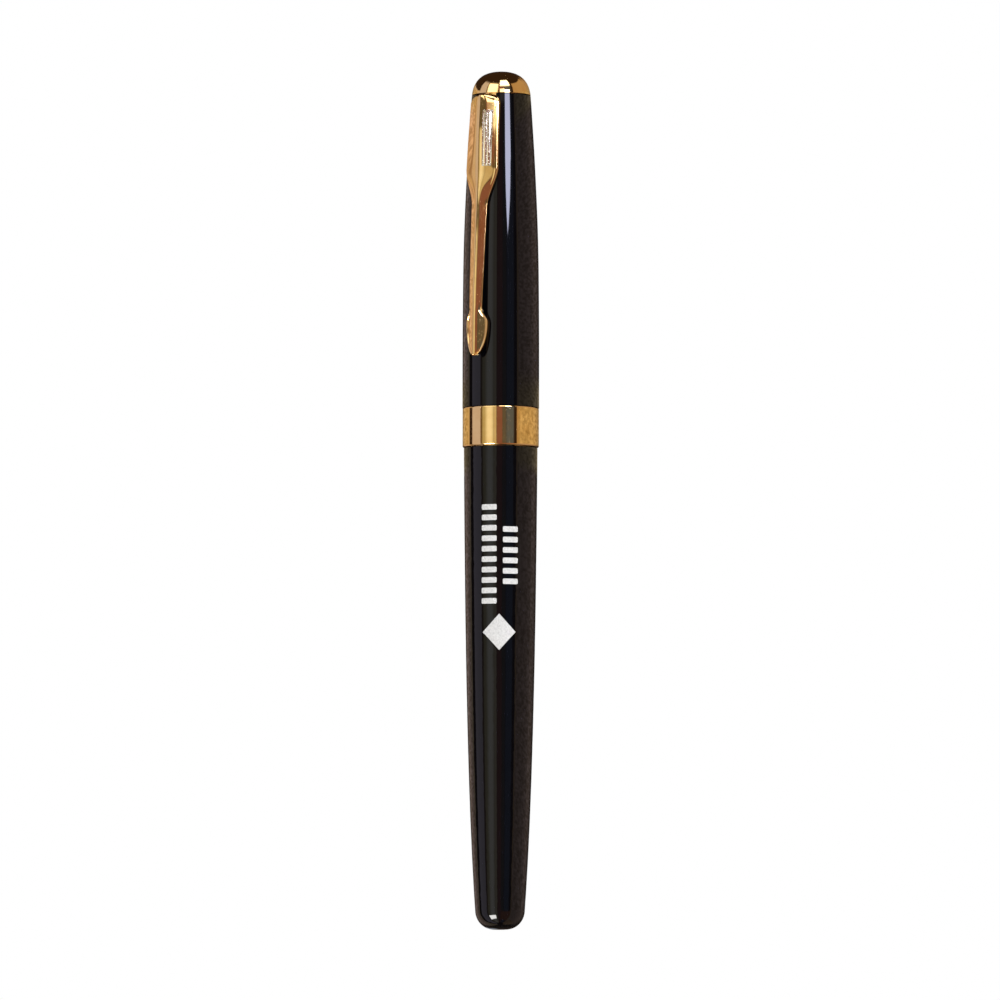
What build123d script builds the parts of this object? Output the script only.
from build123d import *
import math
import os

# Capped rollerball pen: a lacquered brass barrel and slip-on cap, a sprung pocket clip held
# under a domed finial, a writing section that screws into the barrel, and a plastic refill.
#
# Frame: millimetres. +Z runs along the pen, from the barrel's closed end to the finial.
# The origin is the centre of the barrel's end. The clip lies on the -Y side.
# A part of revolution is drawn as a closed outline of (radius, height) and turned about Z.

# ------------------------------------------------------------------ driving dimensions
PEN_LENGTH = 137.1
FINIAL_HEIGHT = 3.8
BARREL_LENGTH = 76.7
LIP_GAP = 0.1                # between the barrel's mouth and the cap's lip
FIT = 0.02                   # gap between two pieces that are pressed or glued together
RUN = 0.05                   # gap between two pieces that slide or turn on each other
SHELL_WALL = 0.58            # drawn brass wall of barrel and cap
EDGE_BREAK = 0.08            # small bevel on the lacquered edges

# Smooth outer outlines as (height, radius) stations.
BARREL_STATIONS = [(3.0, 3.95), (12.5, 4.50), (28.5, 5.11), (52.5, 5.62), (BARREL_LENGTH, 5.87)]
CAP_STATIONS = [(83.1, 6.11), (97.0, 6.09), (110.0, 5.92), (122.0, 5.41), (131.0, 4.86), (133.2, 4.70)]

# Barrel
END_FLAT_RADIUS = 0.9        # small flat in the middle of the domed end
CAVITY_FLOOR_Z = 1.9
SPRING_WELL_TOP_Z = 4.8      # the cavity tapers in to a narrow well for the spring below this
CAVITY_FLOOR_RADIUS = 3.0
DOME_FULLNESS = (2.6, 1.26)  # how far the domed end carries on flat, and how far it carries on straight
BUSH_Z = (60.5, 76.5)
BUSH_RADIUS = 5.22
PILOT_BORE_RADIUS = 5.0
PILOT_BORE_Z = 74.3

# Cap
CAP_LIP_Z = BARREL_LENGTH + LIP_GAP
BAND_TOP_Z = CAP_STATIONS[0][0]
BAND_RADIUS = 6.08
BAND_CHAMFER = 0.18
BAND_SEAT_RADIUS = 5.78      # the tube is necked down to this under the band
BAND_LIP = 0.3               # the band turns inwards over the end of the tube
MOUTH_RADIUS = 5.45
STRAIGHT_BORE_TOP_Z = 104.0
CLUTCH_Z = (78.2, 91.5)
CLUTCH_FINGER_TOP_Z = 86.0
CLUTCH_GRIP_RADIUS = 5.20
CLUTCH_FINGERS = 6
CLUTCH_SLOT_WIDTH = 1.0
CLUTCH_GRIP_HEIGHT = 1.2     # the thick end of each finger
CLUTCH_FINGER_PLAY = 0.08    # room behind a finger for it to spring outwards
CLUTCH_FINGER_BORE = 5.23
CLUTCH_SLEEVE_BORE = 5.08
LINER_Z = (92.0, 130.96)
LINER_BORE_RADIUS = 4.75
LINER_SEAL = (119.0, 4.2)    # height and radius where the bore narrows around the nose
LINER_CLOSED_END = (127.5, 3.5)
LINER_TOP_PLATE = 0.95
CROWN_Z = (CAP_STATIONS[4][0], 131.8)  # the plate across the top of the cap
CROWN_OUTER_RADIUS = CAP_STATIONS[4][1]
CROWN_RECESS_RADIUS = 3.75
CAP_TOP_Z = CAP_STATIONS[-1][0]

# Finial and its screw
FINIAL_BASE_Z = PEN_LENGTH - FINIAL_HEIGHT
FINIAL_RADIUS = 4.70
FINIAL_SHOULDER = (4.45, 2.1)  # the dome's side leans in to this radius at this height above its base
FINIAL_TOP_FULLNESS = 3.4      # and its top stays nearly flat out to this radius
FINIAL_BOSS_RADIUS = 3.6
SCREW_RADIUS = 1.5
SCREW_HOLE_RADIUS = 1.65
SCREW_HEAD_RADIUS = 2.6
SCREW_HEAD_Z = (129.0, 129.95)
SCREW_TOP_Z = 134.8
SCREW_SLOT = (0.7, 0.5)      # width and depth

# Clip
CLIP_TOP_Z = 132.95
CLIP_TIP_Z = 90.9
HOOD_HALF_WIDTH = 2.9
HOOD_CORNER = 0.8
HOOD_END_Z = 121.0
SHAFT_HALF_WIDTH = 1.42
SHAFT_Z = (99.4, 115.0)
SHAFT_END_HALF_WIDTH = 1.12
PAD_HALF_WIDTH = 1.93
PAD_WIDEST_Z = 95.8
PAD_TIP_HALF_WIDTH = 0.5
ROOF_SLOPE = 18.0            # degrees; the clip's face falls away on both sides of its ridge
CLIP_RIDGE = [(CLIP_TIP_Z, 8.24), (100.5, 8.06), (110.0, 7.55), (119.7, 6.93), (CLIP_TOP_Z, 6.53)]
CLIP_UNDERSIDE = [
    (CLIP_TIP_Z, 7.35), (100.5, 7.08), (110.0, 6.5), (118.0, 6.02),
    (124.0, 5.7), (130.0, 4.9), (CLIP_TOP_Z, 3.9),
]
CLIP_CLEARANCE = 0.12        # between the hood and the cap
CLIP_RING_RADIUS = FINIAL_BOSS_RADIUS
CLIP_RING_THICKNESS = 0.6
NECK_HALF_WIDTH = 1.6
NECK_REACH = 5.6             # from the pen's axis into the hood
NOTCH_HALF_WIDTH = 1.75
BUMP_Z = 94.6                # the bump on the underside that pinches the pocket
BUMP_RADIUS = 1.1

# Writing section
SECTION_Z = (79.4, 106.0)
SECTION_BACK_RADIUS = 4.95
SECTION_WAIST = (96.0, 4.36)
SECTION_FRONT_RADIUS = 4.30
REAR_RING_Z = (BARREL_LENGTH + RUN, SECTION_Z[0] - FIT)
REAR_RING_RADIUS = 5.3
CATCH_RADIUS = CLUTCH_GRIP_RADIUS - RUN / 2
CATCH_GROOVE = (77.6, 78.2, 5.0)   # low and high edges, and radius
CATCH_BEVEL = 0.2
FRONT_RING_Z = (SECTION_Z[1] + FIT, 107.4)
FRONT_RING_RADIUS = 4.36
FRONT_RING_CHAMFER = 0.12
NOSE_END_Z = 115.0
NOSE_END_RADIUS = 1.55
NOSE_BASE_RADIUS = 4.22
NOSE_FULLNESS = [(3.8, 3.2), (2.2, 2.2)]  # the cone's two guide points: radius, distance from its ends
NOSE_BACK_Z = 99.5           # the refill's shoulder stops against this face
NOSE_SPIGOT_RADIUS = 3.5
NOSE_BORE_RADIUS = 2.35
NOSE_BORE_END_Z = 110.0
TIP_HOLE_RADIUS = 1.3
TIP_HOLE_LENGTH = 2.0
CONNECTOR_Z = (64.5, 90.0)
CONNECTOR_BORE_RADIUS = 3.2
CONNECTOR_LEAD_IN = 0.35
SPIGOT_RADIUS = 4.05
PILOT_Z = (74.5, REAR_RING_Z[0] - FIT)

# Right-handed screw thread between the section's connector and the barrel's bush
THREAD_PITCH = 1.0
THREAD_Z = (66.0, 72.0)
THREAD_ROOT_RADIUS = 4.08
THREAD_CREST_RADIUS = 4.50
THREAD_ROOT_WIDTH = 0.56
THREAD_CREST_WIDTH = 0.24
THREAD_CLEARANCE = 0.09

# Refill
REFILL_RADIUS = 3.05
REFILL_BORE_RADIUS = 2.65
REFILL_TUBE_Z = (8.1, 97.0)
REFILL_SHOULDER_Z = NOSE_BACK_Z - FIT
REFILL_NECK_RADIUS = 2.2
REFILL_CONE_Z = 109.0        # its nose narrows from here to the metal tip
PLUG_BACK_Z = 7.32
PLUG_NIPPLE_Z = 5.8          # a short pin reaches back into the spring from here
PLUG_NIPPLE_RADIUS = 1.6
RESERVOIR_Z = (11.2, 91.9)
FEED_RADIUS = 0.55
FEED_Z = (90.0, 113.2)
TIP_BACK_Z = 111.5
TIP_RADIUS = 1.15
TIP_FLANGE_RADIUS = 1.45
TIP_FLANGE_THICKNESS = 0.5
TIP_SHOULDER_Z = 115.3
TIP_RIM = (117.05, 0.45)     # height and radius of the rim around the ball
BALL_RADIUS = 0.35
BALL_Z = 116.95
INK_CHANNEL_RADIUS = 0.15

# Spring at the closed end of the barrel, which pushes the refill forwards
SEAT_RADIUS = CAVITY_FLOOR_RADIUS - RUN
SEAT_BORE_RADIUS = 2.5
SEAT_FLOOR = 0.4
SEAT_TOP_Z = 4.4
WIRE_RADIUS = 0.2
SPRING_RADIUS = 2.2
SPRING_COILS = 5


# ------------------------------------------------------------------ drawing helpers
def at(radius, height):
    """A point of a lathe outline, in the XZ plane."""
    return (radius, 0, height)


def lathe(*curves):
    """Turn a closed outline, given as curves in the XZ plane, into a solid about Z."""
    edges = [edge for curve in curves for edge in curve.edges()]
    return revolve(make_face(edges), Axis.Z)


def straight(*corners):
    """A run of straight lines through (radius, height) corners."""
    return Polyline(*[at(r, z) for r, z in corners])


def turned(*corners):
    """A solid of revolution with a straight-sided outline through (radius, height) corners."""
    return lathe(Polyline(*[at(r, z) for r, z in corners], close=True))


def tube(outer, inner, low, high):
    return turned((inner, low), (outer, low), (outer, high), (inner, high))


def rod(radius, low, high):
    return tube(radius, 0, low, high)


def smooth_outline(stations, inset=0.0):
    """A smooth outline through (height, radius) stations, moved inwards by inset."""
    return Spline(*[at(r - inset, z) for z, r in stations])


def thread_ridge(low, high, growth=0.0):
    """A right-handed thread ridge about Z, grown all round by growth for the mating groove."""
    root = THREAD_ROOT_RADIUS + growth
    crest = THREAD_CREST_RADIUS + growth
    root_half = THREAD_ROOT_WIDTH / 2 + growth
    crest_half = THREAD_CREST_WIDTH / 2 + growth
    sink = 0.1  # how far the ridge runs into its core, so that the two join
    path = Helix(pitch=THREAD_PITCH, height=high - low, radius=root, center=(0, 0, low))
    corners = [
        (root - sink, 0, low - root_half),
        (crest, 0, low - crest_half),
        (crest, 0, low + crest_half),
        (root - sink, 0, low + root_half),
    ]
    return sweep(make_face(Polyline(*corners, close=True)), path=path, is_frenet=True)


# ------------------------------------------------------------------ barrel
def barrel_tube():
    """The lacquered shell: domed shut at the bottom, open at the top, bored for its bush."""
    bottom_z, bottom_radius = BARREL_STATIONS[0]
    mouth_radius = BARREL_STATIONS[-1][1]
    bush_bore = BUSH_RADIUS + FIT
    bush_floor_z = BUSH_Z[0] - FIT
    bore_low_z, bore_low = BARREL_STATIONS[1]
    bore_high = BARREL_STATIONS[3][1]
    dome = Bezier(
        at(END_FLAT_RADIUS, 0),
        at(DOME_FULLNESS[0], 0),
        at(bottom_radius - EDGE_BREAK, DOME_FULLNESS[1]),
        at(bottom_radius, bottom_z),
    )
    wall = smooth_outline(BARREL_STATIONS[:-1] + [(BARREL_LENGTH - EDGE_BREAK, mouth_radius)])
    mouth = straight(
        (mouth_radius, BARREL_LENGTH - EDGE_BREAK),
        (mouth_radius - EDGE_BREAK, BARREL_LENGTH),
        (bush_bore, BARREL_LENGTH),
        (bush_bore, bush_floor_z),
        (bore_high - SHELL_WALL, bush_floor_z),
        (bore_high - SHELL_WALL, BARREL_STATIONS[3][0]),
    )
    bore = smooth_outline(BARREL_STATIONS[1:4], inset=SHELL_WALL)
    floor = straight(
        (bore_low - SHELL_WALL, bore_low_z),
        (CAVITY_FLOOR_RADIUS, SPRING_WELL_TOP_Z),
        (CAVITY_FLOOR_RADIUS, CAVITY_FLOOR_Z),
        (0, CAVITY_FLOOR_Z),
        (0, 0),
        (END_FLAT_RADIUS, 0),
    )
    return lathe(dome, wall, mouth, bore, floor)


def barrel_bush():
    """The brass bush glued into the barrel's mouth, with the female thread."""
    low, high = BUSH_Z
    bore = THREAD_ROOT_RADIUS + THREAD_CLEARANCE
    blank = turned(
        (bore, low),
        (BUSH_RADIUS, low),
        (BUSH_RADIUS, high),
        (PILOT_BORE_RADIUS, high),
        (PILOT_BORE_RADIUS, PILOT_BORE_Z),
        (bore, PILOT_BORE_Z),
    )
    groove = thread_ridge(THREAD_Z[0] - THREAD_PITCH, THREAD_Z[1] + 3 * THREAD_PITCH, THREAD_CLEARANCE)
    return blank - groove


def spring_seat():
    """A plastic cup that locates the spring on the barrel's floor."""
    floor_z = CAVITY_FLOOR_Z + FIT
    return turned(
        (0, floor_z),
        (SEAT_RADIUS, floor_z),
        (SEAT_RADIUS, SEAT_TOP_Z),
        (SEAT_BORE_RADIUS, SEAT_TOP_Z),
        (SEAT_BORE_RADIUS, floor_z + SEAT_FLOOR),
        (0, floor_z + SEAT_FLOOR),
    )


def refill_spring():
    """A coil spring between its seat and the back of the refill."""
    low = CAVITY_FLOOR_Z + FIT + SEAT_FLOOR + WIRE_RADIUS + FIT
    high = PLUG_BACK_Z - WIRE_RADIUS - FIT
    height = high - low
    coil = Helix(pitch=height / SPRING_COILS, height=height, radius=SPRING_RADIUS, center=(0, 0, low))
    wire = Plane(origin=coil @ 0, z_dir=coil % 0) * Circle(WIRE_RADIUS)
    return sweep(wire, path=coil, is_frenet=True)


# ------------------------------------------------------------------ cap
def cap_bore_stations():
    """Where the cap's bore stops being straight and follows the outside up to the crown."""
    return [(STRAIGHT_BORE_TOP_Z, MOUTH_RADIUS + SHELL_WALL)] + CAP_STATIONS[2:5]


def cap_tube():
    """The lacquered cap shell: necked for the band, with a crown plate and a recess on top."""
    top_radius = CAP_STATIONS[-1][1]
    seat_low = CAP_LIP_Z + BAND_LIP + FIT
    seat_high = BAND_TOP_Z + FIT
    seat_outer = CAP_STATIONS[0][1]
    outer = smooth_outline(
        [(seat_high, seat_outer)] + CAP_STATIONS[1:-1] + [(CAP_TOP_Z - EDGE_BREAK, top_radius)]
    )
    crown = straight(
        (top_radius, CAP_TOP_Z - EDGE_BREAK),
        (top_radius - EDGE_BREAK, CAP_TOP_Z),
        (CROWN_RECESS_RADIUS, CAP_TOP_Z),
        (CROWN_RECESS_RADIUS, CROWN_Z[1]),
        (SCREW_HOLE_RADIUS, CROWN_Z[1]),
        (SCREW_HOLE_RADIUS, CROWN_Z[0]),
        (CROWN_OUTER_RADIUS - SHELL_WALL, CROWN_Z[0]),
    )
    bore = smooth_outline(cap_bore_stations(), inset=SHELL_WALL)
    mouth = straight(
        (MOUTH_RADIUS, STRAIGHT_BORE_TOP_Z),
        (MOUTH_RADIUS, seat_low),
        (BAND_SEAT_RADIUS, seat_low),
        (BAND_SEAT_RADIUS, seat_high),
        (seat_outer, seat_high),
    )
    shell = lathe(outer, crown, bore, mouth)
    notch_depth = 2.5
    notch = Box(2 * NOTCH_HALF_WIDTH, notch_depth, 2 * (CAP_TOP_Z - CROWN_Z[1]))
    return shell - Pos(0, 0.5 - top_radius, CAP_TOP_Z) * notch


def cap_band():
    """The polished band pressed on the cap's mouth, turned in over the end of the tube."""
    inner = BAND_SEAT_RADIUS + FIT
    lip_top = CAP_LIP_Z + BAND_LIP
    return turned(
        (MOUTH_RADIUS + FIT, CAP_LIP_Z),
        (BAND_RADIUS - BAND_CHAMFER, CAP_LIP_Z),
        (BAND_RADIUS, CAP_LIP_Z + BAND_CHAMFER),
        (BAND_RADIUS, BAND_TOP_Z - BAND_CHAMFER),
        (BAND_RADIUS - BAND_CHAMFER, BAND_TOP_Z),
        (inner, BAND_TOP_Z),
        (inner, lip_top),
        (MOUTH_RADIUS + FIT, lip_top),
    )


def cap_clutch():
    """A plastic sleeve in the cap's mouth whose fingers grip the ring behind the section."""
    low, high = CLUTCH_Z
    outer = MOUTH_RADIUS - FIT
    finger_outer = outer - CLUTCH_FINGER_PLAY
    grip_top = low + CLUTCH_GRIP_HEIGHT
    sleeve = turned(
        (CLUTCH_GRIP_RADIUS, low),
        (finger_outer, low),
        (finger_outer, CLUTCH_FINGER_TOP_Z),
        (outer, CLUTCH_FINGER_TOP_Z),
        (outer, high),
        (CLUTCH_SLEEVE_BORE, high),
        (CLUTCH_SLEEVE_BORE, CLUTCH_FINGER_TOP_Z + 0.5),
        (CLUTCH_FINGER_BORE, CLUTCH_FINGER_TOP_Z),
        (CLUTCH_FINGER_BORE, grip_top + 0.1),
        (CLUTCH_GRIP_RADIUS, grip_top),
    )
    below = 1.0  # the slots are open at the mouth
    slot_height = CLUTCH_FINGER_TOP_Z - low + below
    slot = Pos(outer, 0, CLUTCH_FINGER_TOP_Z - slot_height / 2) * Box(2.0, CLUTCH_SLOT_WIDTH, slot_height)
    slots = [Rot(0, 0, 360 * i / CLUTCH_FINGERS) * slot for i in range(CLUTCH_FINGERS)]
    return sleeve - slots


def inner_cap():
    """The plastic liner that seals over the writing tip, clamped by the finial's screw."""
    low, high = LINER_Z
    outer = MOUTH_RADIUS - FIT
    top_radius = CROWN_OUTER_RADIUS - SHELL_WALL - FIT
    plate_z = high - LINER_TOP_PLATE
    gap = SHELL_WALL + 2 * FIT
    outside = smooth_outline(cap_bore_stations()[:-1] + [(high, top_radius + gap)], inset=gap)
    end_z, end_radius = LINER_CLOSED_END
    seal_z, seal_radius = LINER_SEAL
    inside = Spline(
        at(end_radius, end_z), at(seal_radius, seal_z), at(LINER_BORE_RADIUS, STRAIGHT_BORE_TOP_Z)
    )
    return lathe(
        straight(
            (LINER_BORE_RADIUS, STRAIGHT_BORE_TOP_Z),
            (LINER_BORE_RADIUS, low),
            (outer, low),
            (outer, STRAIGHT_BORE_TOP_Z - 0.2),
            (MOUTH_RADIUS - 2 * FIT, STRAIGHT_BORE_TOP_Z),
        ),
        outside,
        straight(
            (top_radius, high),
            (SCREW_HOLE_RADIUS, high),
            (SCREW_HOLE_RADIUS, plate_z),
            (end_radius - 0.1, plate_z),
            (end_radius, end_z),
        ),
        inside,
    )


def finial():
    """The polished dome on top, with a boss that clamps the clip's ring."""
    clip_ring_top = CROWN_Z[1] + FIT + CLIP_RING_THICKNESS
    hole_top = SCREW_TOP_Z + 0.2
    dome = Bezier(
        at(FINIAL_RADIUS, FINIAL_BASE_Z),
        at(FINIAL_SHOULDER[0], FINIAL_BASE_Z + FINIAL_SHOULDER[1]),
        at(FINIAL_TOP_FULLNESS, PEN_LENGTH),
        at(0, PEN_LENGTH),
    )
    under = straight(
        (0, PEN_LENGTH),
        (0, hole_top),
        (SCREW_RADIUS + FIT, hole_top),
        (SCREW_RADIUS + FIT, clip_ring_top + FIT),
        (FINIAL_BOSS_RADIUS, clip_ring_top + FIT),
        (FINIAL_BOSS_RADIUS, FINIAL_BASE_Z),
        (FINIAL_RADIUS, FINIAL_BASE_Z),
    )
    return lathe(dome, under)


def finial_screw():
    """The slotted screw that runs up through the liner, crown and clip into the finial."""
    head_low, head_high = SCREW_HEAD_Z
    blank = turned(
        (0, head_low),
        (SCREW_HEAD_RADIUS, head_low),
        (SCREW_HEAD_RADIUS, head_high),
        (SCREW_RADIUS, head_high),
        (SCREW_RADIUS, SCREW_TOP_Z),
        (0, SCREW_TOP_Z),
    )
    width, depth = SCREW_SLOT
    slot = Pos(0, 0, head_low + depth / 2) * Box(width, 3 * SCREW_HEAD_RADIUS, depth)
    return blank - slot


# ------------------------------------------------------------------ clip
def clip_front_outline():
    """The clip seen from the front: a wide hood, a slim shaft and a leaf-shaped pad."""
    shaft_low, shaft_high = SHAFT_Z
    corner_z = CLIP_TOP_Z - HOOD_CORNER
    side = [
        Line((0, 0, CLIP_TOP_Z), (HOOD_HALF_WIDTH - HOOD_CORNER, 0, CLIP_TOP_Z)),
        TangentArc(
            (HOOD_HALF_WIDTH - HOOD_CORNER, 0, CLIP_TOP_Z),
            (HOOD_HALF_WIDTH, 0, corner_z),
            tangent=(1, 0, 0),
        ),
        Line((HOOD_HALF_WIDTH, 0, corner_z), (HOOD_HALF_WIDTH, 0, HOOD_END_Z)),
        Spline(
            (HOOD_HALF_WIDTH, 0, HOOD_END_Z),
            (SHAFT_HALF_WIDTH, 0, shaft_high),
            tangents=[(0, 0, -1), (0, 0, -1)],
        ),
        Line((SHAFT_HALF_WIDTH, 0, shaft_high), (SHAFT_END_HALF_WIDTH, 0, shaft_low)),
        Spline(
            (SHAFT_END_HALF_WIDTH, 0, shaft_low),
            (PAD_HALF_WIDTH, 0, PAD_WIDEST_Z),
            (PAD_TIP_HALF_WIDTH, 0, CLIP_TIP_Z + 0.2),
            tangents=[(0, 0, -1), (-0.75, 0, -0.65)],
        ),
        Spline(
            (PAD_TIP_HALF_WIDTH, 0, CLIP_TIP_Z + 0.2),
            (0, 0, CLIP_TIP_Z),
            tangents=[(-0.75, 0, -0.65), (-1, 0, 0)],
        ),
    ]
    edges = [edge for curve in side for edge in curve.edges()]
    mirrored = [mirror(edge, Plane.YZ) for edge in edges]
    return make_face(edges + mirrored)


def clip_blank(stations, roof):
    """Everything between the pen's axis and a line of (height, distance) stations along the clip.

    With roof set, the surface falls away from its middle on both sides, like a shallow roof.
    """
    line = Spline(*[(0, -y, z) for z, y in stations])
    low, high = stations[0], stations[-1]
    back = Polyline((0, -high[1], high[0]), (0, 0, high[0]), (0, 0, low[0]), (0, -low[1], low[0]))
    half = make_face(list(line.edges()) + list(back.edges()))
    reach = HOOD_HALF_WIDTH + 1.0
    rise = math.tan(math.radians(ROOF_SLOPE)) if roof else 0.0
    amount = reach * math.hypot(1, rise)
    right = extrude(half, amount, dir=(1, rise, 0))
    left = extrude(half, amount, dir=(-1, rise, 0))
    return right + left


def clip_ring():
    """The washer that the finial clamps, and the neck that joins it to the hood."""
    low = CROWN_Z[1] + FIT
    high = low + CLIP_RING_THICKNESS
    ring = tube(CLIP_RING_RADIUS, 0, low, high)
    neck = Box(2 * NECK_HALF_WIDTH, NECK_REACH, CLIP_RING_THICKNESS)
    neck = Pos(0, -NECK_REACH / 2, (low + high) / 2) * neck
    return ring + neck - rod(SCREW_RADIUS + 0.1, low - 1, high + 1)


def pocket_clip():
    """The clip, one springy piece: ring, neck, hood, shaft, and pad with its bump."""
    middle = CAP_STATIONS[1][1]
    front = Pos(0, -middle, 0) * extrude(clip_front_outline(), middle, both=True)
    clip = front & clip_blank(CLIP_RIDGE, roof=True)
    clip -= clip_blank(CLIP_UNDERSIDE, roof=False)
    around_cap = lathe(
        smooth_outline(CAP_STATIONS, inset=-CLIP_CLEARANCE),
        straight(
            (CAP_STATIONS[-1][1] + CLIP_CLEARANCE, CAP_TOP_Z),
            (0, CAP_TOP_Z),
            (0, BAND_TOP_Z),
            (CAP_STATIONS[0][1] + CLIP_CLEARANCE, BAND_TOP_Z),
        ),
    )
    clip -= around_cap
    bump_y = CAP_STATIONS[1][1] + RUN + BUMP_RADIUS
    bump = Pos(0, -bump_y, BUMP_Z) * Sphere(BUMP_RADIUS)
    sink = 0.3  # how far the bump runs into the pad
    kept = Box(2 * BUMP_RADIUS, BUMP_RADIUS + sink, 2 * BUMP_RADIUS)
    bump &= Pos(0, (BUMP_RADIUS - sink) / 2 - bump_y, BUMP_Z) * kept
    return clip + bump + clip_ring()


# ------------------------------------------------------------------ writing section
def grip_section():
    """The black grip: slightly waisted, bored for the connector and for the nose cone."""
    low, high = SECTION_Z
    waist_z, waist_radius = SECTION_WAIST
    grip = Spline(
        at(SECTION_BACK_RADIUS, low), at(waist_radius, waist_z), at(SECTION_FRONT_RADIUS, high)
    )
    inside = straight(
        (SECTION_FRONT_RADIUS, high),
        (NOSE_SPIGOT_RADIUS + FIT, high),
        (NOSE_SPIGOT_RADIUS + FIT, NOSE_BACK_Z - FIT),
        (CONNECTOR_BORE_RADIUS, NOSE_BACK_Z - FIT),
        (CONNECTOR_BORE_RADIUS, CONNECTOR_Z[1] + FIT),
        (SPIGOT_RADIUS + FIT, CONNECTOR_Z[1] + FIT),
        (SPIGOT_RADIUS + FIT, low),
        (SECTION_BACK_RADIUS, low),
    )
    return lathe(grip, inside)


def section_ring():
    """The gold ring behind the grip, with the rib that the cap's clutch grips."""
    low, high = REAR_RING_Z
    groove_low, groove_high, groove_radius = CATCH_GROOVE
    bore = SPIGOT_RADIUS + FIT
    return turned(
        (bore, low),
        (REAR_RING_RADIUS, low),
        (REAR_RING_RADIUS, groove_low),
        (groove_radius, groove_low + CATCH_BEVEL),
        (groove_radius, groove_high),
        (CATCH_RADIUS, groove_high + CATCH_BEVEL),
        (CATCH_RADIUS, high - CATCH_BEVEL),
        (CATCH_RADIUS - CATCH_BEVEL, high),
        (bore, high),
    )


def section_connector():
    """The brass connector: male thread, pilot and the spigot that holds ring and grip."""
    low, high = CONNECTOR_Z
    blank = turned(
        (CONNECTOR_BORE_RADIUS, low),
        (THREAD_ROOT_RADIUS - CONNECTOR_LEAD_IN, low),
        (THREAD_ROOT_RADIUS, low + CONNECTOR_LEAD_IN),
        (THREAD_ROOT_RADIUS, PILOT_Z[0]),
        (PILOT_BORE_RADIUS - RUN, PILOT_Z[0]),
        (PILOT_BORE_RADIUS - RUN, PILOT_Z[1]),
        (SPIGOT_RADIUS, PILOT_Z[1]),
        (SPIGOT_RADIUS, high),
        (CONNECTOR_BORE_RADIUS, high),
    )
    return blank + thread_ridge(*THREAD_Z)


def front_trim_ring():
    """The thin gold ring between the grip and the nose."""
    low, high = FRONT_RING_Z
    return turned(
        (NOSE_SPIGOT_RADIUS + FIT, low),
        (FRONT_RING_RADIUS - FRONT_RING_CHAMFER, low),
        (FRONT_RING_RADIUS, low + FRONT_RING_CHAMFER),
        (FRONT_RING_RADIUS, high - FRONT_RING_CHAMFER),
        (FRONT_RING_RADIUS - FRONT_RING_CHAMFER, high),
        (NOSE_SPIGOT_RADIUS + FIT, high),
    )


def nose_cone():
    """The gold nose: a spigot in the grip, a curved cone, and the hole for the tip."""
    cone_z = FRONT_RING_Z[1] + FIT
    (back_radius, back_offset), (front_radius, front_offset) = NOSE_FULLNESS
    cone = Bezier(
        at(NOSE_BASE_RADIUS, cone_z),
        at(back_radius, cone_z + back_offset),
        at(front_radius, NOSE_END_Z - front_offset),
        at(NOSE_END_RADIUS, NOSE_END_Z),
    )
    inside = straight(
        (NOSE_END_RADIUS, NOSE_END_Z),
        (TIP_HOLE_RADIUS, NOSE_END_Z),
        (TIP_HOLE_RADIUS, NOSE_END_Z - TIP_HOLE_LENGTH),
        (NOSE_BORE_RADIUS, NOSE_BORE_END_Z),
        (NOSE_BORE_RADIUS, NOSE_BACK_Z),
        (NOSE_SPIGOT_RADIUS, NOSE_BACK_Z),
        (NOSE_SPIGOT_RADIUS, cone_z),
        (NOSE_BASE_RADIUS, cone_z),
    )
    return lathe(cone, inside)


# ------------------------------------------------------------------ refill
def refill_tube():
    """The refill's plain plastic tube."""
    return tube(REFILL_RADIUS, REFILL_BORE_RADIUS, *REFILL_TUBE_Z)


def refill_end_plug():
    """The plug that shuts the back of the refill and centres the spring."""
    flange_top = REFILL_TUBE_Z[0] - FIT
    stem = REFILL_BORE_RADIUS - FIT
    return turned(
        (0, PLUG_NIPPLE_Z),
        (PLUG_NIPPLE_RADIUS, PLUG_NIPPLE_Z),
        (PLUG_NIPPLE_RADIUS, PLUG_BACK_Z),
        (REFILL_RADIUS - RUN, PLUG_BACK_Z),
        (REFILL_RADIUS - RUN, flange_top),
        (stem, flange_top),
        (stem, RESERVOIR_Z[0] - FIT),
        (0, RESERVOIR_Z[0] - FIT),
    )


def ink_reservoir():
    """The fibre rod that holds the ink, with a pocket for the feed."""
    pocket = FEED_RADIUS + FIT
    low, high = RESERVOIR_Z
    radius = REFILL_BORE_RADIUS - RUN
    pocket_floor = FEED_Z[0] - FIT
    return turned(
        (0, low), (radius, low), (radius, high), (pocket, high), (pocket, pocket_floor), (0, pocket_floor)
    )


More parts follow.
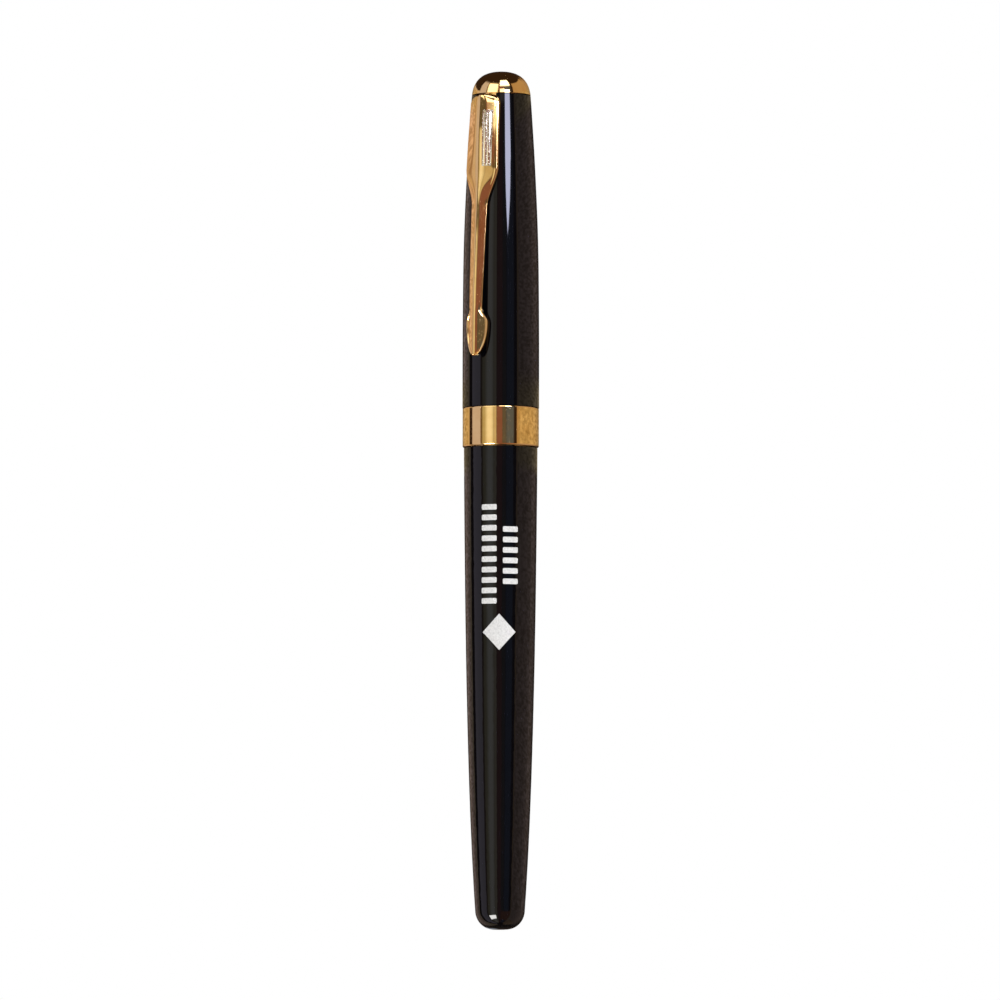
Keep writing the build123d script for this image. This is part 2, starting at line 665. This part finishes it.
def refill_nose():
    """The plastic nose of the refill: plug, shoulder, neck and cone."""
    bore = FEED_RADIUS + FIT
    stem = REFILL_BORE_RADIUS - FIT
    stem_low = RESERVOIR_Z[1] + FIT
    collar_low = REFILL_TUBE_Z[1] + FIT
    return turned(
        (bore, stem_low),
        (stem, stem_low),
        (stem, collar_low),
        (REFILL_RADIUS, collar_low),
        (REFILL_RADIUS, REFILL_SHOULDER_Z),
        (REFILL_NECK_RADIUS, REFILL_SHOULDER_Z),
        (REFILL_NECK_RADIUS, REFILL_CONE_Z),
        (TIP_FLANGE_RADIUS, TIP_BACK_Z - FIT),
        (bore, TIP_BACK_Z - FIT),
    )


def ink_feed():
    """The thin fibre rod that carries ink from the reservoir to the ball."""
    return rod(FEED_RADIUS, *FEED_Z)


def ball_tip():
    """The metal tip: flange, barrel and cone, with a round socket for the ball."""
    rim_z, rim_radius = TIP_RIM
    feed_bore = FEED_RADIUS + FIT
    feed_top = FEED_Z[1] + FIT
    blank = turned(
        (feed_bore, TIP_BACK_Z),
        (TIP_FLANGE_RADIUS, TIP_BACK_Z),
        (TIP_FLANGE_RADIUS, TIP_BACK_Z + TIP_FLANGE_THICKNESS),
        (TIP_RADIUS, TIP_BACK_Z + TIP_FLANGE_THICKNESS),
        (TIP_RADIUS, TIP_SHOULDER_Z),
        (rim_radius, rim_z),
        (INK_CHANNEL_RADIUS, rim_z),
        (INK_CHANNEL_RADIUS, feed_top),
        (feed_bore, feed_top),
    )
    return blank - Pos(0, 0, BALL_Z) * Sphere(BALL_RADIUS + FIT)


def writing_ball():
    """The ball that rolls the ink on to the paper."""
    return Pos(0, 0, BALL_Z) * Sphere(BALL_RADIUS)


# ------------------------------------------------------------------ one STEP file per piece
PIECES = [
    barrel_tube, barrel_bush, spring_seat, refill_spring,
    cap_tube, cap_band, cap_clutch, inner_cap, finial, finial_screw, pocket_clip,
    grip_section, section_ring, section_connector, front_trim_ring, nose_cone,
    refill_tube, refill_end_plug, ink_reservoir, refill_nose, ink_feed, ball_tip, writing_ball,
]

os.makedirs("parts", exist_ok=True)
for piece in PIECES:
    export_step(piece(), f"parts/{piece.__name__}.step")
